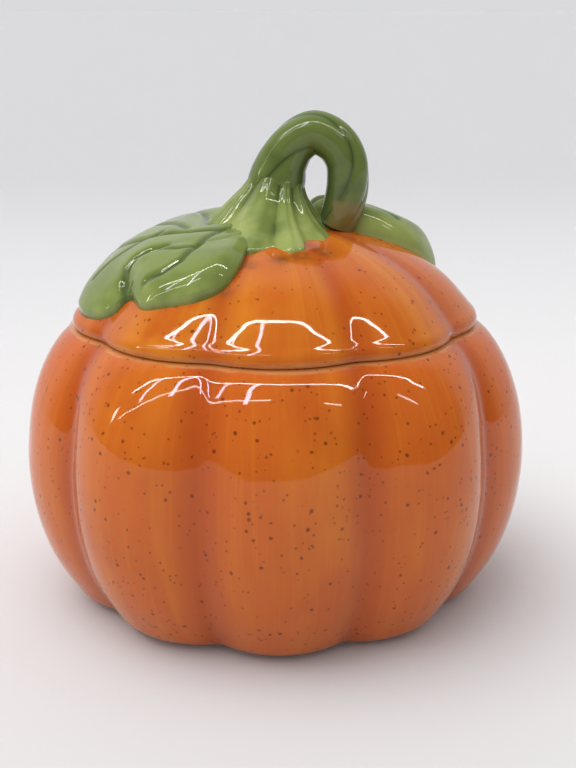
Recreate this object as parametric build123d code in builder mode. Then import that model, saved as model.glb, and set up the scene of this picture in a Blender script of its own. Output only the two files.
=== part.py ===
from build123d import *
import os
from math import cos, radians, sin

# A lidded ceramic pumpkin jar. The origin is on the table at the jar's axis, +Z is up,
# and the front of the pumpkin faces -Y. Bearings turn from -Y toward +X. Millimetres.

# Driving dimensions
LOBES = 10  # ribs of the pumpkin
LOBE_ANGLE = 360 / LOBES
FRONT_CREST = 2.0  # bearing of the crest nearest the front
WALL = 5.5  # fired wall of the jar and the lid

# Jar outside, as (height, crest radius, groove depth over crest radius)
JAR_OUTSIDE = [
    (0.0, 73.5, 0.085),
    (1.3, 79.5, 0.085),
    (4.5, 84.2, 0.08),
    (11.0, 88.8, 0.075),
    (21.0, 94.4, 0.065),
    (36.0, 99.6, 0.06),
    (53.0, 102.2, 0.056),
    (70.0, 102.0, 0.054),
    (87.0, 98.8, 0.052),
    (100.0, 93.2, 0.05),
    (106.0, 89.2, 0.05),
    (110.0, 85.2, 0.05),
    (113.0, 79.0, 0.05),
]
RIM_HEIGHT = JAR_OUTSIDE[-1][0]

# Jar inside, which follows the ribs up to the ledge under the rim
JAR_INSIDE = [
    (8.0, 66.0, 0.07),
    (11.0, 79.0, 0.07),
    (21.0, 88.2, 0.065),
    (36.0, 93.6, 0.06),
    (53.0, 96.4, 0.056),
    (70.0, 96.3, 0.054),
    (86.0, 93.0, 0.05),
    (97.5, 86.8, 0.047),
    (107.0, 75.0, 0.05),
]
MOUTH_RADIUS = 66.0
MOUTH_ROUNDING = 1.5
FOOT_INNER_RADIUS = 57.0
FOOT_RECESS = 2.0

# Lid outside, from the resting lip to the crown under the stem
LID_OUTSIDE = [
    (113.0, 79.6, 0.05),
    (114.4, 81.7, 0.05),
    (117.2, 81.2, 0.05),
    (120.6, 78.6, 0.05),
    (125.0, 74.8, 0.05),
    (129.8, 70.2, 0.05),
    (134.0, 65.2, 0.05),
    (138.4, 58.6, 0.05),
    (142.2, 51.2, 0.05),
    (145.4, 43.0, 0.05),
    (148.0, 34.0, 0.045),
    (150.0, 24.0, 0.03),
    (151.4, 10.0, 0.0),
]
LID_INSIDE = [
    (118.5, 72.0, 0.05),
    (123.5, 68.6, 0.05),
    (128.5, 63.4, 0.05),
    (133.5, 56.0, 0.05),
    (138.0, 46.2, 0.05),
    (141.5, 35.0, 0.035),
    (144.0, 22.0, 0.015),
    (145.2, 8.0, 0.0),
]
FLANGE_RADIUS = 64.4  # locating ring, a loose fit in the mouth
FLANGE_WALL = 5.0
FLANGE_DROP = 9.0
FLANGE_ROUNDING = 1.2

# Calyx: the ribbed green skirt between the lid and the stem
CALYX_FOOT = (-7.0, -7.0)
CALYX_TOP = (-0.5, -3.0)
CALYX_RIBS = 9
CALYX_TURN = -12.0
CALYX = [
    (141.0, 34.0, 0.16),
    (149.0, 31.5, 0.16),
    (153.0, 26.5, 0.15),
    (157.0, 20.5, 0.13),
    (161.0, 16.0, 0.1),
    (165.0, 12.8, 0.06),
    (168.0, 11.2, 0.0),
]

# Stem: a thick strand that climbs out of the calyx and loops down to the lid again.
# Each station is (sideways place, height, section radius), in the loop's own plane.
STEM_PLANE_POINT = (-1.0, -3.0, 0.0)
STEM_SWING = 5.0  # the loop's far foot swings this far toward the front, degrees
STEM = [
    (-2.0, 157.0, 11.6),
    (0.6, 167.0, 10.6),
    (3.8, 176.0, 9.3),
    (9.0, 183.4, 8.8),
    (16.4, 186.8, 8.7),
    (24.0, 183.8, 8.6),
    (29.0, 176.4, 8.5),
    (30.0, 167.4, 8.4),
    (28.4, 158.8, 8.1),
    (25.2, 150.5, 7.2),
]

# Leaves: their outlines seen from above, and how far they stand above the lid
FRONT_LEAF_RISE = 4.2
FRONT_LEAF = [
    (-8, -18),
    (-11, -42),
    (-17, -55.5),
    (-27, -60),
    (-38, -58.6),
    (-48, -53.6),
    (-54, -43),
    (-60, -41.5),
    (-68, -36.5),
    (-74.5, -27),
    (-77, -15),
    (-74, -2),
    (-69, 8),
    (-63, 19),
    (-55, 28),
    (-44, 33),
    (-31, 32),
    (-19, 23),
    (-8, 8),
]
REAR_LEAF_RISE = 9.5
REAR_LEAF = [
    (17, 4),
    (30, -5.5),
    (42, -7.5),
    (53, -4),
    (62, 3.5),
    (67, 13.5),
    (65, 25),
    (56, 33),
    (43, 36),
    (31, 33),
    (20, 26),
    (12, 14),
]


def at(radius, bearing, centre=(0, 0)):
    """Plan position at a radius and bearing from a centre."""
    angle = radians(bearing)
    return (centre[0] + radius * sin(angle), centre[1] - radius * cos(angle))


def ribbed_solid(stations, ribs=LOBES, first=FRONT_CREST, foot=(0, 0), top=(0, 0)):
    """Solid lofted up through ribbed outlines, each rib an arc from groove to groove.

    The outlines' centres run in a straight line from foot to top.
    """
    half = 180 / ribs
    base = stations[0][0]
    span = stations[-1][0] - base
    with BuildPart() as solid:
        for height, crest_radius, depth in stations:
            groove_radius = crest_radius * (1 - depth)
            share = (height - base) / span
            centre = [low + (high - low) * share for low, high in zip(foot, top)]
            with BuildSketch(Plane.XY.offset(height)):
                with BuildLine():
                    for rib in range(ribs):
                        crest = first + 2 * half * rib
                        ThreePointArc(
                            at(groove_radius, crest - half, centre),
                            at(crest_radius, crest, centre),
                            at(groove_radius, crest + half, centre),
                        )
                make_face()
        loft()
    return solid.part


def crown_solid(rise):
    """Solid of revolution that stands a given rise above the lid's crests."""
    profile = []
    for (low, inner, _), (high, outer, _) in zip(LID_OUTSIDE[1:], LID_OUTSIDE[:-1]):
        slope = Vector(low - high, outer - inner).normalized()
        profile.append((inner + rise * slope.X, low + rise * slope.Y))
    with BuildPart() as crown:
        with BuildSketch(Plane.XZ):
            with BuildLine():
                top = (0, LID_OUTSIDE[-1][0] + rise)
                edge = Spline(*profile, top)
                Polyline(top, (0, RIM_HEIGHT + 1), (edge.position_at(0).X, RIM_HEIGHT + 1), edge @ 0)
            make_face()
        revolve(axis=Axis.Z)
    return crown.part


jar_outside = ribbed_solid(JAR_OUTSIDE)
jar_inside = ribbed_solid(JAR_INSIDE)
lid_outside = ribbed_solid(LID_OUTSIDE)
lid_inside = ribbed_solid(LID_INSIDE)
calyx_flare = ribbed_solid(CALYX, CALYX_RIBS, CALYX_TURN, CALYX_FOOT, CALYX_TOP)
os.makedirs("parts", exist_ok=True)

# Jar: a ribbed hollow bowl with an inward ledge, a round mouth and a recessed foot
with BuildPart() as jar_body:
    add(jar_outside)
    add(jar_inside, mode=Mode.SUBTRACT)
    with BuildSketch(Plane.XY.offset(RIM_HEIGHT)):
        Circle(MOUTH_RADIUS)
    extrude(amount=-2 * WALL, mode=Mode.SUBTRACT)
    with BuildSketch(Plane.XY):
        Circle(FOOT_INNER_RADIUS)
    extrude(amount=FOOT_RECESS, mode=Mode.SUBTRACT)
    mouth_edge = jar_body.edges().filter_by(GeomType.CIRCLE).sort_by(Axis.Z)[-1]
    fillet(mouth_edge, MOUTH_ROUNDING)
jar_body.part.label = "jar_body"
export_step(jar_body.part, "parts/jar_body.step")

# Lid: a ribbed hollow dome whose round flange drops into the mouth
with BuildPart() as lid_shell:
    add(lid_outside)
    with BuildSketch(Plane.XY.offset(RIM_HEIGHT - FLANGE_DROP)):
        Circle(FLANGE_RADIUS)
    extrude(amount=FLANGE_DROP)
    flange_foot = lid_shell.edges().filter_by(GeomType.CIRCLE).sort_by(Axis.Z)[0]
    fillet(flange_foot, FLANGE_ROUNDING)
    add(lid_inside, mode=Mode.SUBTRACT)
    with BuildSketch(Plane.XY.offset(RIM_HEIGHT - FLANGE_DROP)):
        Circle(FLANGE_RADIUS - FLANGE_WALL)
    extrude(amount=FLANGE_DROP + WALL, mode=Mode.SUBTRACT)
lid_shell.part.label = "lid_shell"
export_step(lid_shell.part, "parts/lid_shell.step")

# Calyx, seated on the lid's crown
with BuildPart() as calyx:
    add(calyx_flare)
    add(lid_outside, mode=Mode.SUBTRACT)
calyx.part.label = "calyx"
export_step(calyx.part, "parts/calyx.step")

# Stem handle: round sections lofted along the loop, trimmed to the calyx and the lid
loop_plane = Plane(
    origin=STEM_PLANE_POINT,
    x_dir=(*at(1, 90 - STEM_SWING), 0),
    z_dir=(*at(1, -STEM_SWING), 0),
)
with BuildLine(loop_plane) as stem_line:
    Spline(*[(across, height) for across, height, _ in STEM])
with BuildPart() as stem_handle:
    for index, (_, _, radius) in enumerate(STEM):
        share = index / (len(STEM) - 1)
        with BuildSketch(Plane(stem_line.line ^ share)):
            Circle(radius)
    loft()
    add(calyx_flare, mode=Mode.SUBTRACT)
    add(lid_outside, mode=Mode.SUBTRACT)
stem_handle.part.label = "stem_handle"
export_step(stem_handle.part, "parts/stem_handle.step")


def leaf(outline, rise):
    """Leaf lying on the lid, clear of the calyx and the stem."""
    with BuildPart() as blade:
        with BuildSketch(Plane.XY.offset(RIM_HEIGHT + 2)):
            with BuildLine():
                Spline(*outline, periodic=True)
            make_face()
        extrude(amount=60)
        add(crown_solid(rise), mode=Mode.INTERSECT)
        add(lid_outside, mode=Mode.SUBTRACT)
        add(calyx_flare, mode=Mode.SUBTRACT)
        add(stem_handle.part, mode=Mode.SUBTRACT)
    return blade.part


for name, outline, rise in (
    ("front_leaf", FRONT_LEAF, FRONT_LEAF_RISE),
    ("rear_leaf", REAR_LEAF, REAR_LEAF_RISE),
):
    blade = leaf(outline, rise)
    blade.label = name
    export_step(blade, f"parts/{name}.step")
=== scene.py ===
import math

import bpy
import numpy as np
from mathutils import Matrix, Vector


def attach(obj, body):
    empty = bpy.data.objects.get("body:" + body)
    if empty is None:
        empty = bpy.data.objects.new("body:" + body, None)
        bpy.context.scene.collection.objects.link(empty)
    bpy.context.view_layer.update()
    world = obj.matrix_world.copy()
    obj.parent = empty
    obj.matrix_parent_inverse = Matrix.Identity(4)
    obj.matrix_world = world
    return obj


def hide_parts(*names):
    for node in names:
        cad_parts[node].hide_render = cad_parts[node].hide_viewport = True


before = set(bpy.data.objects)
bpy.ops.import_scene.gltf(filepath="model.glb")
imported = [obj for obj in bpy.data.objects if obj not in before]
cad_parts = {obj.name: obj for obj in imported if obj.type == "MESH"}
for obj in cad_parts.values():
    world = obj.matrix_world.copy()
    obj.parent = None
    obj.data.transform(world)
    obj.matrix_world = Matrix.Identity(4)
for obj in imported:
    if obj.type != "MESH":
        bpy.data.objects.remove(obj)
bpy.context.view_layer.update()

# A lidded ceramic pumpkin jar, each CAD node of which gets a finer mesh and a glaze.
# The shape tables are in millimetres, as in the CAD source, and Blender is in metres.
# Bearings turn from the front (-Y) toward the right (+X).
MM = 0.001

# Ribs of the jar and the lid
RIBS = 10
FRONT_CREST = math.radians(2.0)
GROOVE_ROUNDING = math.radians(1.5)
RIM_SPREAD = math.radians(4.6)  # how far the front ribs widen toward the rim and over the lid
SPREAD_HEIGHTS = (75.0, 113.0)  # where that widening starts and is complete
RIB_COLUMNS = 400  # points round each ring of the jar and the lid

# Hand-finished unevenness, as (share of the distance from the origin, size of a wave in metres)
DENTS = ((0.002, 0.05), (0.0005, 0.016))
CALYX_DENTS = (0.003, 0.02)
WAVES = 9  # sine waves that are added up for it
JAR_SEED = 3
LEAF_SEED = 5
LID_SEED = 8
CALYX_SEED = 12

# Profiles as (crest radius, height, groove depth over crest radius)
JAR_OUTSIDE = [
    (67.0, 0.0, 0.02),
    (73.5, 0.0, 0.085),
    (79.0, 1.1, 0.085),
    (84.2, 4.5, 0.082),
    (88.8, 11.0, 0.076),
    (94.4, 21.0, 0.072),
    (99.6, 36.0, 0.07),
    (102.2, 53.0, 0.069),
    (102.0, 70.0, 0.067),
    (98.8, 87.0, 0.064),
    (93.2, 100.0, 0.06),
    (89.2, 106.0, 0.056),
    (85.6, 110.0, 0.052),
    (82.4, 112.2, 0.05),
    (79.0, 113.0, 0.045),
]
JAR_FOOT = [(0.0, 2.0, 0.0), (55.5, 2.0, 0.0), (57.0, 1.6, 0.0), (58.0, 0.2, 0.0), (60.0, 0.0, 0.0)]
JAR_MOUTH = [
    (68.0, 113.0, 0.0),
    (66.6, 112.6, 0.0),
    (66.0, 111.5, 0.0),
    (66.0, 108.2, 0.0),
    (66.8, 107.0, 0.0),
]
JAR_INSIDE = [
    (75.0, 107.0, 0.05),
    (86.8, 97.5, 0.047),
    (93.0, 86.0, 0.05),
    (96.4, 62.0, 0.055),
    (93.6, 36.0, 0.06),
    (88.2, 21.0, 0.065),
    (79.0, 11.0, 0.06),
    (64.0, 8.0, 0.03),
    (0.0, 8.0, 0.0),
]
LID_OUTSIDE = [
    (79.0, 113.0, 0.05),
    (80.6, 113.2, 0.05),
    (81.7, 114.6, 0.05),
    (81.3, 117.2, 0.05),
    (78.6, 120.6, 0.05),
    (74.8, 125.0, 0.05),
    (70.2, 129.8, 0.05),
    (65.2, 134.0, 0.05),
    (58.6, 138.4, 0.05),
    (51.2, 142.2, 0.05),
    (43.0, 145.4, 0.05),
    (34.0, 148.0, 0.045),
    (24.0, 150.0, 0.03),
    (10.0, 151.4, 0.0),
    (0.0, 151.5, 0.0),
]
LID_UNDER = [
    (0.0, 145.2, 0.0),
    (22.0, 144.0, 0.015),
    (35.0, 141.5, 0.035),
    (46.2, 138.0, 0.05),
    (56.0, 133.5, 0.05),
    (63.4, 128.5, 0.05),
    (68.6, 123.5, 0.05),
    (72.0, 118.6, 0.05),
    (60.4, 118.4, 0.0),
    (59.4, 117.4, 0.0),
    (59.4, 105.2, 0.0),
    (60.2, 104.2, 0.0),
    (63.4, 104.0, 0.0),
    (64.4, 105.0, 0.0),
    (64.4, 112.6, 0.0),
    (64.8, 113.0, 0.0),
]

# Where the glaze begins, ends and stains. Stains are (x, y, size) in plan
FOOT_BARE_TO = 0.8  # height up to which the foot is wiped clean
JAR_LIP = (110.5, 113.0)  # heights between which the jar's glaze thins toward the rim
LID_LIP = (113.4, 116.4)  # heights over which the lid's glaze thickens again above its lip
JAR_LINING_TOP = 101.0
LID_LINING_FROM = 119.0
AMBER_POOLS = [(-30.0, -64.0, 26.0)]
BROWN_STAINS = [
    (-12.0, -48.5, 5.0),
    (-17.5, -56.0, 4.0),
    (2.0, -44.5, 4.0),
    (17.0, -37.0, 6.0),
    (9.0, -41.0, 4.0),
]


def smooth_line(points, count):
    """Evenly spread points on a smooth curve through the given ones, with their extra values."""
    points = np.array(points, float)
    steps = np.linalg.norm(np.diff(points[:, :2], axis=0), axis=1)
    place = np.concatenate([[0.0], np.cumsum(np.maximum(steps, 1e-6))])
    slopes = np.gradient(points, place, axis=0)
    t = np.linspace(0, place[-1], count)
    i = np.clip(np.searchsorted(place, t, side="right") - 1, 0, len(place) - 2)
    h = (place[i + 1] - place[i])[:, None]
    u = ((t - place[i])[:, None]) / h
    start = (1 + 2 * u) * (1 - u) ** 2
    end = u * u * (3 - 2 * u)
    return (
        start * points[i]
        + u * (1 - u) ** 2 * h * slopes[i]
        + end * points[i + 1]
        - u * u * (1 - u) * h * slopes[i + 1]
    )


def rib_share(bearing, depth, ribs=RIBS, first=FRONT_CREST, rounding=GROOVE_ROUNDING):
    """Radius over crest radius: each rib is an arc from groove to groove, with rounded grooves."""
    half = math.pi / ribs
    from_groove = half - np.abs((bearing - first + half) % (2 * half) - half)
    from_crest = half - np.sqrt(from_groove**2 + rounding**2)
    depth = np.maximum(depth, 1e-4)
    chord = (1 - depth) * math.sin(half)
    rise = 1 - (1 - depth) * math.cos(half)
    arc = (chord**2 + rise**2) / (2 * rise)
    centre = 1 - arc
    return centre * np.cos(from_crest) + np.sqrt(arc**2 - (centre * np.sin(from_crest)) ** 2)


def groove_share(bearing, ribs=RIBS, first=FRONT_CREST):
    """0 on a rib's crest and 1 in the groove beside it."""
    half = math.pi / ribs
    return np.abs((bearing - first + half) % (2 * half) - half) / half


def smoothstep(low, high, value):
    t = np.clip((value - low) / (high - low), 0, 1)
    return t * t * (3 - 2 * t)


def waves(points, size, seed):
    """Gentle unevenness from about -1 to 1, made of sine waves about `size` long."""
    rng = np.random.default_rng(seed)
    total = np.zeros(points.shape[:-1])
    for _ in range(WAVES):
        direction = rng.normal(size=3)
        direction *= 2 * math.pi / (size * rng.uniform(0.7, 1.6)) / np.linalg.norm(direction)
        total += np.sin(points @ direction + rng.uniform(0, 2 * math.pi))
    return total / (WAVES / 2)


def dents(points, seed):
    """Share of its size by which the hand-finished surface swells or sinks at each point."""
    return sum(share * waves(points, size, seed + k) for k, (share, size) in enumerate(DENTS))


def linked(name, data):
    """New object that stands in the scene."""
    made = bpy.data.objects.new(name, data)
    bpy.context.scene.collection.objects.link(made)
    return made


def skin(name, rings, marks, vectors=None):
    """Closed smooth mesh over rings of points, with per-point marks for the materials.

    A mark may also be one value for each ring, for each place round the rings, or for the whole mesh.
    """
    rows, columns, _ = rings.shape
    ends = [rings[0].mean(0), rings[-1].mean(0)]
    points = np.concatenate([rings.reshape(-1, 3), ends])
    index = np.arange(rows * columns).reshape(rows, columns)
    turned = np.roll(index, -1, axis=1)
    quads = np.stack([index[:-1], turned[:-1], turned[1:], index[1:]], -1).reshape(-1, 4)
    first, last = rows * columns, rows * columns + 1
    faces = quads.tolist()
    faces += [[first, b, a] for a, b in zip(index[0], turned[0])]
    faces += [[last, a, b] for a, b in zip(index[-1], turned[-1])]
    mesh = bpy.data.meshes.new(name)
    mesh.from_pydata(points.tolist(), [], faces)
    mesh.update()
    for mark, values in marks.items():
        values = np.broadcast_to(values, (rows, columns))
        whole = np.concatenate([values.reshape(-1), [values[0].mean(), values[-1].mean()]])
        mesh.attributes.new(mark, "FLOAT", "POINT").data.foreach_set("value", whole.astype(np.float32))
    for mark, values in (vectors or {}).items():
        whole = np.concatenate([values.reshape(-1, 3), [values[0].mean(0), values[-1].mean(0)]])
        attribute = mesh.attributes.new(mark, "FLOAT_VECTOR", "POINT")
        attribute.data.foreach_set("vector", whole.astype(np.float32).ravel())
    mesh.shade_smooth()
    return linked(name, mesh)


def place(piece, material, body, slot, node):
    """Gives a piece its material and its body, and hides the CAD node it stands for. The slot is not used.
    """
    piece.data.materials.append(material)
    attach(piece, body)
    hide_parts(node)


def bearings(columns):
    return np.arange(columns) * 2 * math.pi / columns


def joined(*lines):
    """One profile made of several lines, and the number of the line that each row is from."""
    return np.concatenate(lines), np.repeat(np.arange(len(lines)), [len(line) for line in lines])[:, None]


def ribbed_rings(profile):
    """Rings of points for a ribbed profile, and each point's bearing in the even rib pattern."""
    radius, height, depth = (profile[:, k : k + 1] for k in range(3))
    turn = bearings(RIB_COLUMNS)[None, :]
    even = turn - RIM_SPREAD * smoothstep(*SPREAD_HEIGHTS, height) * np.sin(turn)
    reach = radius * rib_share(even, depth)
    rings = np.stack([reach * np.sin(turn), -reach * np.cos(turn), height + 0 * turn], -1) * MM
    return rings, even


def flow(rings):
    """Coordinates that run slowly along the profile, so a pattern made in them streaks downhill."""
    steps = np.linalg.norm(np.diff(rings.mean(1), axis=0), axis=1)
    profile = np.linalg.norm(rings, axis=2).mean(1)
    along = np.concatenate([[0.0], np.cumsum(np.abs(np.diff(profile)) + steps)])
    around = rings / np.maximum(np.linalg.norm(rings[..., :2], axis=2, keepdims=True), 1e-4)
    return np.stack([around[..., 0], around[..., 1], along[:, None] + 0 * around[..., 0]], -1)


def spots(rings, places):
    """Soft round spots at the given places in plan."""
    x, y = rings[..., 0] / MM, rings[..., 1] / MM
    return sum(np.exp(-((np.hypot(x - px, y - py) / size) ** 2)) for px, py, size in places)


def jar_piece():
    # A line's point on the axis is left out here and below, because skin closes the ends
    foot = smooth_line(JAR_FOOT, 15)[1:]
    outside = smooth_line(JAR_OUTSIDE, 130)
    mouth = smooth_line(JAR_MOUTH, 12)
    inside = smooth_line(JAR_INSIDE, 50)[:-1]
    profile, line = joined(foot, outside, mouth, inside)
    height = profile[:, 1:2]
    shell = (line == 1) * 1.0
    rings, even = ribbed_rings(profile)
    rings[..., :2] *= 1 + (dents(rings, JAR_SEED) * shell)[..., None]
    marks = {
        "groove": groove_share(even) * shell,
        "glazed": shell * (height > FOOT_BARE_TO),
        "lining": (line == 3) * (height < JAR_LINING_TOP),
        "lip": smoothstep(*JAR_LIP, height) * shell,
    }
    return skin("jar_glazed", rings, marks, {"flow": flow(rings)})


def lid_piece():
    under = smooth_line(LID_UNDER, 110)[1:]
    outside = smooth_line(LID_OUTSIDE, 130)[:-1]
    profile, line = joined(under, outside)
    height = profile[:, 1:2]
    shell = (line == 1) * 1.0
    rings, even = ribbed_rings(profile)
    rings *= 1 + (dents(rings, LID_SEED) * shell)[..., None]
    marks = {
        "groove": groove_share(even) * shell,
        "glazed": shell,
        "amber": spots(rings, AMBER_POOLS),
        "stain": spots(rings, BROWN_STAINS),
        "lining": (height > LID_LINING_FROM) * (1 - shell),
        "lip": (1 - smoothstep(*LID_LIP, height)) * shell,
    }
    return skin("lid_glazed", rings, marks, {"flow": flow(rings)})


# Calyx: bearings of the creases between its sepals, and its profile as (radius, height, crease depth)
CALYX_CREASES = np.radians([-172.0, -135.0, -95.0, -48.0, 9.0, 38.0, 74.0, 112.0, 150.0])
CALYX_FOOT = (-7.0, -7.0)
CALYX_TOP = (1.8, -3.2)
CALYX_LEAN = 0.2  # how much higher the calyx climbs the stem on the left than on the right
CALYX_FLUTES = 0.014  # depth of the fine flutes, three to a sepal
CALYX_ROUNDING = math.radians(2.5)
CALYX_COLUMNS = 320
CALYX_FADE = (154.0, 167.0)  # heights between which the pale foot turns green
CALYX_DEEPENS = (161.0, 171.0)  # heights between which that green turns as deep as the stem's
# How much shorter the foot is at each bearing: under the front leaf and by the handle's tip
CALYX_SHORT = [
    (-180.0, 0.0), (-160.0, 0.04), (-125.0, 0.22), (-90.0, 0.27), (-60.0, 0.4), (-32.0, 0.38), (-6.0, 0.02),
    (20.0, 0.0), (60.0, 0.13), (120.0, 0.13), (165.0, 0.0), (180.0, 0.0),
]
CALYX = [
    (33.0, 141.0, 0.24),
    (35.2, 144.5, 0.24),
    (35.2, 147.0, 0.24),
    (32.6, 149.6, 0.23),
    (27.0, 153.0, 0.22),
    (21.6, 157.0, 0.2),
    (17.4, 160.6, 0.18),
    (14.4, 163.6, 0.17),
    (12.4, 166.6, 0.14),
    (10.9, 169.6, 0.1),
    (9.2, 172.0, 0.05),
    (5.0, 172.6, 0.0),
]


def even_turn(turn, creases):
    """Bearing in an even pattern for a bearing among creases that aren't evenly spread."""
    count = len(creases)
    known = np.concatenate([[creases[-1] - 2 * math.pi], creases, [creases[0] + 2 * math.pi]])
    wrapped = (turn + math.pi) % (2 * math.pi) - math.pi
    return np.interp(wrapped, known, np.arange(-1, count + 1) * 2 * math.pi / count)


def calyx_piece():
    profile = smooth_line(CALYX, 80)
    radius, height, depth = (profile[:, k : k + 1] for k in range(3))
    turn = bearings(CALYX_COLUMNS)[None, :]
    share = (height - CALYX[0][1]) / (CALYX[-1][1] - CALYX[0][1])
    across = CALYX_FOOT[0] + (CALYX_TOP[0] - CALYX_FOOT[0]) * share
    back = CALYX_FOOT[1] + (CALYX_TOP[1] - CALYX_FOOT[1]) * share
    sepals = len(CALYX_CREASES)
    even = even_turn(turn, CALYX_CREASES)
    reach = radius * rib_share(even, depth, sepals, math.pi / sepals, CALYX_ROUNDING)
    side = np.degrees((turn + math.pi) % (2 * math.pi) - math.pi)
    reach = reach * (1 - np.interp(side, *np.array(CALYX_SHORT).T) * (1 - share))
    fluted = smoothstep(0.0, 0.3, share) * (1 - smoothstep(0.7, 1.0, share))
    reach = reach * (1 + CALYX_FLUTES * np.cos(3 * sepals * even) * fluted)
    lifted = height - CALYX_LEAN * share**2 * reach * np.sin(turn)
    rings = np.stack([across + reach * np.sin(turn), back - reach * np.cos(turn), lifted], -1) * MM
    swell, size = CALYX_DENTS
    rings *= 1 + swell * waves(rings, size, CALYX_SEED)[..., None]
    crease = groove_share(even, sepals, math.pi / sepals)
    marks = {
        # Painted shade in the creases between the sepals
        "crease": crease**5,
        "edge": 1.3 - 1.1 * smoothstep(*CALYX_FADE, height + 3 * crease**2),
        "tip": 0.0,
        "deep": smoothstep(*CALYX_DEEPENS, height + 2 * crease),
    }
    return skin("calyx_glazed", rings, marks)


# Stem handle, in the plane of its loop: (across, height, radius)
STEM_PLANE_POINT = np.array([-1.0, -3.0, 0.0])
STEM_SWING = math.radians(5.0)
STEM = [
    (0.6, 161.0, 8.0),
    (0.8, 162.4, 10.0),
    (1.1, 164.4, 11.0),
    (2.1, 168.5, 11.2),
    (4.5, 176.0, 10.0),
    (9.2, 183.2, 9.0),
    (16.6, 187.0, 8.5),
    (24.2, 183.8, 8.4),
    (29.2, 176.4, 8.4),
    (30.0, 167.4, 8.4),
    (28.4, 158.8, 8.1),
    (25.2, 150.5, 7.2),
]
STEM_CREASES = np.radians([-110.0, 0.0, 80.0, 160.0])
STEM_TURN = math.radians(152.0)
STEM_TWIST = math.radians(-200.0)
STEM_RIDGES = 0.11  # depth of the grooves between its ridges
STEM_ROUNDING = math.radians(5.0)
STEM_GLAZE = 1.005  # how much thicker its glaze makes it
STEM_COLUMNS = 140
STEM_TIP = (0.8, 0.88)  # shares of its length between which the brown tip begins


def stem_piece():
    """Twisted strand. Its turn runs from the front over the inside of the loop."""
    line = smooth_line(STEM, 190)
    across = np.array([math.cos(STEM_SWING), -math.sin(STEM_SWING), 0.0])
    front = np.array([-math.sin(STEM_SWING), -math.cos(STEM_SWING), 0.0])
    centre = STEM_PLANE_POINT + line[:, :1] * across + line[:, 1:2] * np.array([0.0, 0.0, 1.0])
    ahead = np.gradient(centre, axis=0)
    ahead /= np.linalg.norm(ahead, axis=1, keepdims=True)
    inner = np.cross(ahead, front)
    share = np.linspace(0, 1, len(line))[:, None]
    turn = bearings(STEM_COLUMNS)[None, :]
    ridges = len(STEM_CREASES)
    even = even_turn(-turn - STEM_TURN - STEM_TWIST * share, STEM_CREASES)
    depth = STEM_RIDGES * smoothstep(0.0, 0.3, share) * (0.25 + 0.75 * smoothstep(-0.7, 0.1, -np.sin(turn)))
    reach = line[:, 2:3] * rib_share(even, depth, ridges, math.pi / ridges, STEM_ROUNDING) * STEM_GLAZE
    rings = centre[:, None] + reach[..., None] * (
        np.cos(turn)[..., None] * front + np.sin(turn)[..., None] * inner[:, None]
    )
    # Painted shade on the inside of the loop
    painted_loop_shade = 0.7 * smoothstep(0.3, 1.0, np.sin(turn))
    marks = {
        # Painted shade in the grooves between the ridges and on the inside of the loop
        "crease": np.maximum(groove_share(even, ridges, math.pi / ridges) ** 8, painted_loop_shade),
        "edge": 0.0,
        "tip": smoothstep(*STEM_TIP, share) * smoothstep(0.0, 0.7, np.cos(turn + 0.5)),
        "deep": 1.0,
    }
    return skin("stem_glazed", rings * MM, marks)


# Leaves, in plan. Veins are (line, depth, width)
FRONT_LEAF_CENTRE = (-34.0, -15.0)
FRONT_LEAF = [
    (-8, -18), (-8, 8), (-19, 23), (-31, 32), (-44, 33), (-55, 28), (-63, 19), (-69, 8), (-74, -2),
    (-77, -15), (-74.5, -27), (-68, -36.5), (-60, -41.5), (-54, -43), (-48, -53.6), (-38, -58.6),
    (-27, -60), (-17, -55.5), (-11, -42),
]
FRONT_LOBE = [
    (0, 4), (-7, -24), (-10, -42), (-17, -56), (-27, -61), (-38, -59.6), (-48, -54.6), (-53.5, -46),
    (-55, -38), (-54.5, -33), (-51.5, -30), (-46, -30), (-38, -29), (-29, -20), (-20, -8), (-10, 4),
]
LEFT_LOBE = [
    (-10, 14), (-10, -30), (-40, -42), (-56, -44), (-61, -42.5), (-69, -37.5), (-75.5, -27), (-78, -15),
    (-75, -2), (-70, 8), (-64, 20), (-56, 29), (-44, 34), (-31, 33), (-19, 24),
]
FRONT_LEAF_VEINS = [
    ([(-14, -20), (-21, -22), (-32, -22), (-39, -18), (-46, -14.5), (-53, -9), (-59, -3), (-65, 5)],
     1.4, 1.6),
    ([(-19, -21), (-25, -31), (-29.5, -40), (-34, -47.5), (-41, -50), (-47, -49)], 1.2, 1.5),
    ([(-29, -38), (-36, -38), (-43, -35)], 0.7, 1.2),
    ([(-41, -31), (-47, -28.5), (-52.5, -28.5), (-55.5, -32), (-56, -38), (-54.5, -46)], 2.4, 1.8),
    ([(-44, -12), (-54, -14), (-63, -16), (-70, -19)], 0.7, 1.5),
    ([(-34, -15), (-40, -3), (-48, 8), (-55, 17)], 1.0, 1.6),
    ([(-26, -13), (-27, 0), (-31, 14), (-36, 24)], 1.0, 1.6),
]
REAR_LEAF_CENTRE = (40.0, 14.0)
REAR_LEAF = [
    (17, 4), (30, -5.5), (42, -7.5), (53, -4), (62, 3.5), (67, 13.5), (65, 25), (56, 33), (43, 36), (31, 33),
    (20, 26), (12, 14),
]
REAR_LEAF_VEINS = [
    ([(14, 10), (28, 12), (42, 14), (54, 17), (63, 20)], 1.2, 1.8),
    ([(32, 13), (40, 5), (49, 1)], 0.8, 1.5),
    ([(32, 13), (40, 22), (48, 29)], 0.8, 1.5),
]
LEAF_ROWS = 130
LEAF_COLUMNS = 420
LEAF_UNDER = (0.985, 0.9, 0.5, 0.01)  # places of the rings under a leaf, as shares of the way out
LEAF_SUNK = 0.8  # how far those rings lie below the lid's surface
LEAF_SPANS = 8.0  # distance from its edge at which a leaf lies wholly across the lid's grooves
LEAF_ROOT = (-10.0, -8.0)  # where the front leaf leaves the calyx
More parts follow.
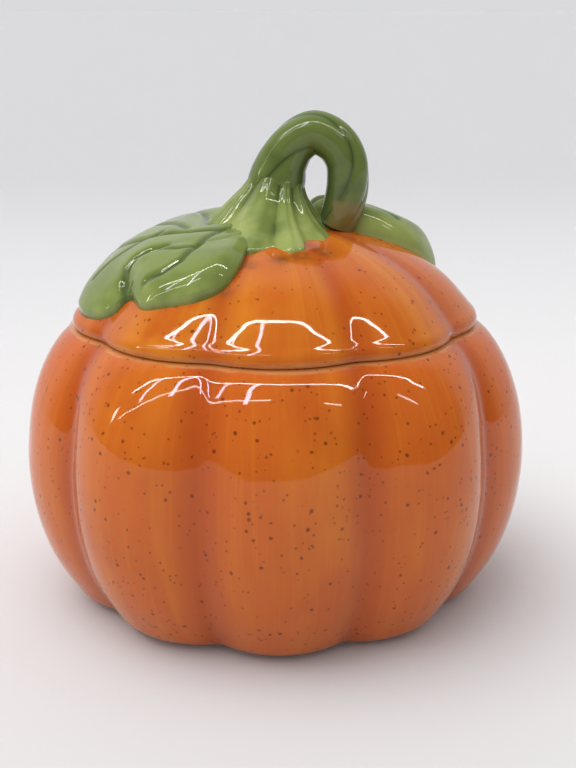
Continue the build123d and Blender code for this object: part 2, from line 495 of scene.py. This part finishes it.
LID_TABLE = smooth_line(LID_OUTSIDE, 260)  # the lid's outside, from its lip up to its crown


def closed_curve(outline, count=360):
    """Smooth closed curve through an outline's points."""
    points = np.array(outline, float)
    n = len(points)
    t = np.arange(count) * n / count
    i = t.astype(int)
    u = (t - i)[:, None]
    p0, p1, p2, p3 = (points[(i + k) % n] for k in (-1, 0, 1, 2))
    return 0.5 * (
        2 * p1 + (p2 - p0) * u + (2 * p0 - 5 * p1 + 4 * p2 - p3) * u**2 + (3 * p1 - p0 - 3 * p2 + p3) * u**3
    )


def distance_to_line(points, line, closed=False):
    """Distance from each plan point to a line of straight pieces."""
    ends = np.roll(line, -1, axis=0) if closed else line[1:]
    starts = line if closed else line[:-1]
    nearest = np.full(points.shape[:-1], 1e9)
    for a, b in zip(starts, ends):
        along = np.clip(((points - a) @ (b - a)) / max((b - a) @ (b - a), 1e-9), 0, 1)
        nearest = np.minimum(nearest, np.linalg.norm(points - a - along[..., None] * (b - a), axis=-1))
    return nearest


def is_inside(points, outline):
    """Whether each plan point lies inside a closed outline."""
    x, y = points[..., 0], points[..., 1]
    inside = np.zeros(x.shape, bool)
    for (x0, y0), (x1, y1) in zip(outline, np.roll(outline, -1, axis=0)):
        if y0 != y1:
            inside ^= ((y0 > y) != (y1 > y)) & (x < x0 + (y - y0) * (x1 - x0) / (y1 - y0))
    return inside


def lid_height(plan, grooves=1.0):
    """Height of the lid's outside over each plan point; with no grooves, that of its crests."""
    turn = np.arctan2(plan[..., 0], -plan[..., 1])
    even = turn - RIM_SPREAD * np.sin(turn)
    reach = np.hypot(plan[..., 0], plan[..., 1])
    height = np.full(reach.shape, LID_TABLE[-1, 1])
    widest = int(np.argmax(LID_TABLE[:, 0]))
    lip_reach, lip_height, lip_depth = LID_TABLE[widest]
    height[reach > lip_reach * rib_share(even, grooves * lip_depth)] = lip_height
    for (r0, z0, d0), (r1, z1, d1) in zip(LID_TABLE[widest:-1], LID_TABLE[widest + 1 :]):
        far, near = r0 * rib_share(even, grooves * d0), r1 * rib_share(even, grooves * d1)
        here = (reach <= far) & (reach >= near)
        slope = (reach - far) / np.minimum(near - far, -1e-6)
        height = np.where(here, z0 + slope * (z1 - z0), height)
    return height


def lobe_rise(plan, outline, thickness, rounding):
    """Thickness of one lobe over each plan point: full inside and rounded off toward its outline."""
    curve = closed_curve(outline, 120)
    inward = np.where(is_inside(plan, curve), distance_to_line(plan, curve, closed=True), 0)
    return thickness * np.sqrt(1 - (1 - np.clip(inward / rounding, 0, 1)) ** 2)


def leaf_rings(outline, centre, rise_at):
    """Rings of a leaf from its centre out along the lid, round its edge and back over the top."""
    edge = closed_curve(outline, LEAF_COLUMNS)
    centre = np.array(centre)
    out = np.sin(np.linspace(0.01, 1, LEAF_ROWS) * math.pi / 2)[:, None, None]
    top = centre + out * (edge - centre)
    rise = rise_at(top)
    rise[-1] = 0
    under = centre + np.array(LEAF_UNDER)[:, None, None] * (edge - centre)
    plan = np.concatenate([top, under])
    height = lid_height(plan)
    inward = distance_to_line(top, edge, closed=True)
    inner = smoothstep(0.0, LEAF_SPANS, inward)
    height[:LEAF_ROWS] += rise + inner * (lid_height(top, 0.0) - height[:LEAF_ROWS])
    height[LEAF_ROWS:] -= LEAF_SUNK
    return np.concatenate([plan, height[..., None]], -1)[::-1]


def leaf_piece(name, outline, centre, rise_at, veins):
    rings = leaf_rings(outline, centre, rise_at)
    plan = rings[..., :2]
    crease = np.zeros(plan.shape[:2])
    for line, _, width in veins:
        crease = np.maximum(crease, np.exp(-((distance_to_line(plan, np.array(line, float)) / width) ** 2)))
    inward = distance_to_line(plan, closed_curve(outline, 120), closed=True)
    marks = {
        # Painted shade along the veins
        "crease": crease,
        "edge": 1 - smoothstep(1.0, 8.0, inward),
        "tip": 0.0,
        "deep": 0.0,
    }
    return skin(name, rings * MM, marks)


def with_veins(rise, plan, veins):
    """The same rise with the veins pressed into it, each fading out where the leaf is thin."""
    for line, depth, width in veins:
        away = distance_to_line(plan, np.array(line, float))
        rise = rise - depth * np.exp(-((away / width) ** 2)) * smoothstep(0.5, 3.0, rise)
    return rise


def front_leaf_rise(plan):
    """Two overlapping lobes. The front one thickens away from the calyx, and both are thin beside it."""
    from_calyx = np.linalg.norm(plan - np.array(LEAF_ROOT), axis=-1)
    left = lobe_rise(plan, LEFT_LOBE, thickness=5.4, rounding=4.6)
    left = with_veins(left, plan, FRONT_LEAF_VEINS)
    front = lobe_rise(plan, FRONT_LOBE, thickness=1.0, rounding=6.5)
    front = front * (4.6 + 2.6 * smoothstep(28.0, 46.0, from_calyx))
    front = with_veins(front, plan, FRONT_LEAF_VEINS[:3])
    puff = 0.4 * waves(np.concatenate([plan, 0 * plan[..., :1]], -1), 22, LEAF_SEED)
    rise = np.maximum(left, front) + puff * smoothstep(1.0, 4.0, left)
    return rise * (0.62 + 0.38 * smoothstep(14.0, 32.0, from_calyx))


def rear_leaf_rise(plan):
    rise = lobe_rise(plan, REAR_LEAF, thickness=10.4, rounding=9.0)
    return with_veins(rise, plan, REAR_LEAF_VEINS)


# Materials, in linear colours

# Orange glaze on crests, in grooves and in the streaks that run down the ribs. The darker groove colour also
# gives random blotches, and is laid in the grooves as painted shade
JAR_ORANGES = ((0.53, 0.112, 0.014, 1.0), (0.39, 0.063, 0.01, 1.0), (0.6, 0.168, 0.015, 1.0))
LID_ORANGES = ((0.5, 0.112, 0.012, 1.0), (0.4, 0.066, 0.01, 1.0), (0.6, 0.188, 0.016, 1.0))
AMBER = (0.72, 0.29, 0.02, 1.0)
STAIN_BROWN = (0.2, 0.055, 0.013, 1.0)
SPECKLE_BROWN = (0.11, 0.026, 0.007, 1.0)
LIP_TAN = (0.62, 0.34, 0.13, 1.0)
CLAY = ((0.62, 0.52, 0.4, 1.0), (0.7, 0.61, 0.5, 1.0))
CREAM = (0.74, 0.68, 0.58, 1.0)

# Speckles lie in cells of random value. Below the first value a cell is empty, above the second full
JAR_SPECKLED = (0.56, 0.61)
LID_SPECKLED = (0.66, 0.71)
PITTED = (0.72, 0.76)
# Their sets, as (cells per metre, radius of the core, radius of the edge, shift, strength)
SPECKLES = (
    (210.0, 0.08, 0.21, 1.9, 0.8),
    (120.0, 0.045, 0.13, 5.3, 0.85),
    (370.0, 0.1, 0.24, 7.7, 0.65),
    (270.0, 0.07, 0.19, 12.3, 0.7),
)
PITS = (110.0, 0.03, 0.07, 1.7)

# In each pair the second, darker green gives random mottling and the painted shade in creases
LEAF_GREENS = ((0.185, 0.238, 0.06, 1.0), (0.058, 0.092, 0.022, 1.0))  # plain and in creases
STEM_GREENS = ((0.125, 0.17, 0.043, 1.0), (0.032, 0.052, 0.012, 1.0))
POOLED_GREEN = (0.29, 0.34, 0.095, 1.0)
TIP_BROWN = (0.17, 0.14, 0.04, 1.0)
PIT_GREEN = (0.03, 0.05, 0.012, 1.0)
GLAZE_IOR = 1.42
RELIEF = 0.0006  # height of the finest unevenness, metres


class Paint:
    """Adds nodes one by one to a material or to the world."""

    def __init__(self, owner):
        owner.use_nodes = True
        self.owner = owner
        self.tree = owner.node_tree

    def set(self, socket, value):
        if isinstance(value, bpy.types.NodeSocket):
            self.tree.links.new(value, socket)
        else:
            socket.default_value = value

    def node(self, kind, **settings):
        made = self.tree.nodes.new(kind)
        for key, value in settings.items():
            setattr(made, key, value)
        return made

    def mark(self, name, output="Fac"):
        return self.node("ShaderNodeAttribute", attribute_name=name).outputs[output]

    def place(self):
        return self.node("ShaderNodeTexCoord").outputs["Object"]

    def axes(self, vector):
        made = self.node("ShaderNodeSeparateXYZ")
        self.set(made.inputs[0], vector)
        return made.outputs

    def stretch(self, vector, scale):
        made = self.node("ShaderNodeMapping")
        self.set(made.inputs["Vector"], vector)
        made.inputs["Scale"].default_value = scale
        return made.outputs["Vector"]

    def noise(self, vector, scale, detail=3.0, distortion=0.0):
        made = self.node("ShaderNodeTexNoise")
        self.set(made.inputs["Vector"], vector)
        made.inputs["Scale"].default_value = scale
        made.inputs["Detail"].default_value = detail
        made.inputs["Distortion"].default_value = distortion
        return made.outputs["Fac"]

    def cells(self, vector, scale, shift):
        moved = self.node("ShaderNodeVectorMath", operation="ADD")
        self.set(moved.inputs[0], vector)
        moved.inputs[1].default_value = (shift, shift, shift)
        made = self.node("ShaderNodeTexVoronoi")
        self.set(made.inputs["Vector"], moved.outputs["Vector"])
        made.inputs["Scale"].default_value = scale
        return made.outputs

    def dots(self, vector, scale, core, edge, shift, filled):
        """1 in round dots of the given radius, in the cells that aren't left empty."""
        cells = self.cells(vector, scale, shift)
        dot = self.steps(cells["Distance"], core, edge, 1.0, 0.0)
        return self.maths("MULTIPLY", dot, self.steps(cells["Color"], *filled))

    def scatter(self, vector, scale, amount):
        """Pushes points about, so that round shapes drawn at them come out uneven."""
        made = self.node("ShaderNodeTexNoise")
        self.set(made.inputs["Vector"], vector)
        made.inputs["Scale"].default_value = scale
        push = self.node("ShaderNodeVectorMath", operation="MULTIPLY_ADD")
        self.set(push.inputs[0], made.outputs["Color"])
        push.inputs[1].default_value = (amount, amount, amount)
        self.set(push.inputs[2], vector)
        return push.outputs["Vector"]

    def maths(self, operation, a, b=0.0):
        made = self.node("ShaderNodeMath", operation=operation)
        self.set(made.inputs[0], a)
        self.set(made.inputs[1], b)
        return made.outputs[0]

    def steps(self, value, low, high, start=0.0, end=1.0):
        """Smooth change from start to end as value goes from low to high."""
        made = self.node("ShaderNodeMapRange", interpolation_type="SMOOTHSTEP")
        for socket, number in zip(made.inputs, (value, low, high, start, end)):
            self.set(socket, number)
        return made.outputs["Result"]

    def mix(self, share, a, b, blend="MIX"):
        made = self.node("ShaderNodeMix", data_type="RGBA", blend_type=blend)
        self.set(made.inputs[0], share)
        self.set(made.inputs[6], a)
        self.set(made.inputs[7], b)
        return made.outputs[2]

    def tint(self, under, mask, strength, colour):
        """Lays a colour over another where the mask is, at most at the given strength."""
        return self.mix(self.maths("MULTIPLY", mask, strength), under, colour)

    def bump(self, height, strength):
        made = self.node("ShaderNodeBump")
        made.inputs["Strength"].default_value = strength
        made.inputs["Distance"].default_value = RELIEF
        self.set(made.inputs["Height"], height)
        return made.outputs["Normal"]


def orange_glaze(name, colours, speckled):
    """Orange glaze: amber streaks down the ribs, grooves darkened redder as painted shade, brown speckles,
    bare clay below.
    """
    crest, groove, streak = colours
    paint = Paint(bpy.data.materials.new(name))
    shader = paint.tree.nodes["Principled BSDF"]
    where = paint.place()
    down = paint.mark("flow", "Vector")
    streaks = paint.noise(paint.stretch(down, (6.0, 6.0, 9.0)), 1.0, 4.0, 0.6)
    brushed = paint.noise(paint.stretch(down, (60.0, 60.0, 14.0)), 1.0, 2.0)
    blotches = paint.noise(where, 28.0, 3.0)
    pool = paint.maths("MULTIPLY", paint.mark("amber"), paint.steps(paint.noise(where, 50.0), 0.35, 0.6))
    stain = paint.maths("MULTIPLY", paint.mark("stain"), paint.steps(paint.noise(where, 140.0), 0.35, 0.65))
    lip = paint.steps(paint.maths("ADD", paint.mark("lip"), paint.noise(where, 90.0)), 0.95, 1.35)
    colour = paint.mix(paint.steps(streaks, 0.4, 0.8, 0.0, 0.8), crest, streak)
    colour = paint.tint(colour, pool, 0.5, AMBER)
    colour = paint.mix(paint.steps(brushed, 0.5, 0.75, 0.0, 0.4), colour, streak)
    colour = paint.mix(paint.steps(blotches, 0.45, 0.75, 0.0, 0.35), colour, groove)
    # Painted shade: the grooves are tinted toward the darker groove colour
    colour = paint.tint(colour, paint.steps(paint.mark("groove"), 0.55, 1.0), 0.75, groove)
    colour = paint.tint(colour, stain, 0.8, STAIN_BROWN)
    colour = paint.tint(colour, lip, 0.45, LIP_TAN)
    torn = paint.scatter(where, 260.0, 0.0011)
    for *size_and_shift, strength in SPECKLES:
        colour = paint.tint(colour, paint.dots(torn, *size_and_shift, speckled), strength, SPECKLE_BROWN)
    glazed = paint.mark("glazed")
    lined = paint.mark("lining")
    bare = paint.mix(paint.steps(paint.noise(where, 120.0), 0.3, 0.7), *CLAY)
    paint.set(shader.inputs["Base Color"], paint.mix(glazed, paint.mix(lined, bare, CREAM), colour))
    shiny = paint.maths("MAXIMUM", glazed, lined)
    paint.set(shader.inputs["Roughness"], paint.steps(shiny, 0.0, 1.0, 0.65, 0.05))
    shader.inputs["IOR"].default_value = GLAZE_IOR
    paint.set(shader.inputs["Normal"], paint.bump(paint.noise(where, 55.0, 2.0), 0.25))
    return paint.owner


def green_glaze():
    """Green glaze: deeper on the stem, darkened in creases as painted shade, yellow where it pools, with a
    brown tip.
    """
    paint = Paint(bpy.data.materials.new("green_glaze"))
    shader = paint.tree.nodes["Principled BSDF"]
    where = paint.place()
    deep = paint.mark("deep")
    light, dark = (paint.mix(deep, leaf, stem) for leaf, stem in zip(LEAF_GREENS, STEM_GREENS))
    cloud = paint.noise(where, 60.0, 4.0, 0.4)
    edge = paint.maths("MULTIPLY", paint.mark("edge"), paint.steps(paint.noise(where, 45.0), 0.4, 0.6))
    tip = paint.steps(paint.maths("ADD", paint.mark("tip"), paint.noise(where, 110.0)), 0.95, 1.35)
    pits = paint.dots(where, *PITS, PITTED)
    colour = paint.mix(paint.steps(cloud, 0.4, 0.8, 0.0, 0.45), light, dark)
    # Painted shade in the creases
    colour = paint.tint(colour, paint.mark("crease"), 0.9, dark)
    colour = paint.tint(colour, edge, 0.8, POOLED_GREEN)
    colour = paint.mix(tip, colour, TIP_BROWN)
    colour = paint.tint(colour, pits, 0.7, PIT_GREEN)
    paint.set(shader.inputs["Base Color"], colour)
    shader.inputs["Roughness"].default_value = 0.07
    shader.inputs["IOR"].default_value = GLAZE_IOR
    relief = paint.maths("SUBTRACT", paint.noise(where, 70.0, 2.0), pits)
    paint.set(shader.inputs["Normal"], paint.bump(relief, 0.3))
    return paint.owner


# Room

TABLE_SIZE = 160.0  # metres, so that it runs to the horizon
# Table colours: the front and far ones are painted shade
TABLE_FRONT_SHADE = (0.57, 0.563, 0.563, 1.0)
TABLE_MIDDLE = ((0.65, 0.64, 0.637, 1.0), (0.665, 0.655, 0.653, 1.0))
TABLE_FAR_SHADE = (0.495, 0.495, 0.502, 1.0)
BACKDROP = (0.7, 0.7, 0.715, 1.0)
OPENING = (0.07, 0.07, 0.075, 1.0)  # what the glaze mirrors in front of it, and behind it
TENT_WALL = (0.7, 0.7, 0.72, 1.0)
LOW_SKY = (0.4, 0.4, 0.405, 1.0)
HIGH_SKY = (1.05, 1.05, 1.07, 1.0)

# Thin lamps that only the glaze mirrors, as (coordinate across the lamp, its middle, half the
# width, coordinate along it, start, end, colour). Climb and azimuth are degrees from the front
ROOF_LAMP = (45.0, 44.0, 42.0, 1.0)
EDGE_LAMP = (22.0, 22.0, 21.0, 1.0)
PANEL = (24.0, 23.0, 29.0, 1.0)
LAMPS = (
    ("climb", 75.0, 0.45, "x", -0.8, 0.75, ROOF_LAMP),
    ("climb", 54.0, 0.3, "azimuth", -78.0, -12.0, EDGE_LAMP),
    ("climb", 54.0, 0.3, "azimuth", 48.0, 62.0, EDGE_LAMP),
    ("azimuth", -82.0, 0.7, "climb", 60.0, 70.0, EDGE_LAMP),
    ("azimuth", -36.0, 2.2, "climb", 50.0, 74.0, PANEL),
    ("azimuth", -64.0, 0.8, "climb", 58.0, 74.0, PANEL),
)

KEY_ENERGY = 1.0
KEY_SPREAD = math.radians(50)
KEY_DIRECTION = (0.9, 0.2, -2.4)

CAMERA_PLACE = (0.0, -0.5, 0.234)
CAMERA_DOWN = 16.74  # degrees below level
CAMERA_TURN = -0.62  # degrees to the left
LENS = 58.9
SENSOR = 36.0


def floor():
    """Large pale table top, with painted shade that makes it a little darker in front and far behind."""
    bpy.ops.mesh.primitive_plane_add(size=TABLE_SIZE, location=(0.0, 0.0, 0.0))
    table = bpy.context.object
    table.name = "table_top"
    paint = Paint(bpy.data.materials.new("table_paper"))
    shader = paint.tree.nodes["Principled BSDF"]
    where = paint.place()
    back = paint.axes(where)[1]
    middle = paint.mix(paint.noise(where, 3.0, 2.0), *TABLE_MIDDLE)
    # Painted shade: the table darkens toward the front and far behind
    near = paint.mix(paint.steps(back, -0.35, 0.1), TABLE_FRONT_SHADE, middle)
    paint.set(shader.inputs["Base Color"], paint.mix(paint.steps(back, -0.05, 1.4), near, TABLE_FAR_SHADE))
    shader.inputs["Roughness"].default_value = 0.9
    shader.inputs["Specular IOR Level"].default_value = 0.1
    table.data.materials.append(paint.owner)


def lamp_mask(paint, across, middle, half, along, start, end):
    """1 where a ray meets a lamp, with slightly soft edges."""
    off = paint.maths("ABSOLUTE", paint.maths("SUBTRACT", across, middle))
    blur = 0.02 * (end - start)
    inside = paint.steps(off, half, half + 0.5, 1.0, 0.0)
    lit = paint.maths("MULTIPLY", inside, paint.steps(along, start, start + blur))
    return paint.maths("MULTIPLY", lit, paint.steps(along, end, end + blur, 1.0, 0.0))


def sky():
    """White light tent, brighter above and on the left, with an opening toward the front."""
    world = bpy.data.worlds.new("tent")
    bpy.context.scene.world = world
    paint = Paint(world)
    x, y, z = paint.axes(paint.node("ShaderNodeTexCoord").outputs["Generated"])
    forward = paint.maths("MULTIPLY", y, -1.0)
    ray = {"x": x}
    for name, part in (("climb", z), ("azimuth", x)):
        ray[name] = paint.maths("MULTIPLY", paint.maths("ARCTAN2", part, forward), 180 / math.pi)
    mirrored = paint.mix(paint.steps(y, 0.02, 0.5), OPENING, TENT_WALL)
    for across, middle, half, along, start, end, glow in LAMPS:
        lit = lamp_mask(paint, ray[across], middle, half, ray[along], start, end)
        mirrored = paint.mix(lit, mirrored, glow)
    soft = paint.mix(paint.steps(z, 0.0, 0.8), LOW_SKY, HIGH_SKY)
    soft = paint.mix(1.0, soft, paint.steps(x, -0.9, 0.9, 1.6, 0.84), "MULTIPLY")
    rays = paint.node("ShaderNodeLightPath").outputs
    seen = paint.mix(rays["Is Glossy Ray"], soft, mirrored)
    background = paint.tree.nodes["Background"]
    paint.set(background.inputs["Color"], paint.mix(rays["Is Camera Ray"], seen, BACKDROP))


def key_light():
    """Broad soft light from high on the left, which the glaze doesn't mirror."""
    data = bpy.data.lights.new("key", "SUN")
    data.energy = KEY_ENERGY
    data.angle = KEY_SPREAD
    lamp = linked("key", data)
    lamp.rotation_euler = Vector(KEY_DIRECTION).to_track_quat("-Z", "Y").to_euler()
    lamp.visible_glossy = False


def camera():
    """Camera in front, looking down at the jar, with colours shown as they are."""
    data = bpy.data.cameras.new("camera")
    data.lens = LENS
    data.sensor_width = SENSOR
    view = linked("camera", data)
    view.location = CAMERA_PLACE
    view.rotation_euler = (math.radians(90.0 - CAMERA_DOWN), 0.0, math.radians(CAMERA_TURN))
    bpy.context.scene.camera = view
    bpy.context.scene.view_settings.view_transform = "Standard"


def build_object():
    jar_orange = orange_glaze("orange_glaze_jar", JAR_ORANGES, JAR_SPECKLED)
    lid_orange = orange_glaze("orange_glaze_lid", LID_ORANGES, LID_SPECKLED)
    green = green_glaze()
    place(jar_piece(), jar_orange, "jar", "orange_glaze", "jar_body")
    place(lid_piece(), lid_orange, "lid", "orange_glaze", "lid_shell")
    place(calyx_piece(), green, "lid", "green_glaze", "calyx")
    place(stem_piece(), green, "lid", "green_glaze", "stem_handle")
    front = leaf_piece("front_leaf_glazed", FRONT_LEAF, FRONT_LEAF_CENTRE, front_leaf_rise, FRONT_LEAF_VEINS)
    place(front, green, "lid", "green_glaze", "front_leaf")
    rear = leaf_piece("rear_leaf_glazed", REAR_LEAF, REAR_LEAF_CENTRE, rear_leaf_rise, REAR_LEAF_VEINS)
    place(rear, green, "lid", "green_glaze", "rear_leaf")


build_object()
floor()
sky()
key_light()
camera()
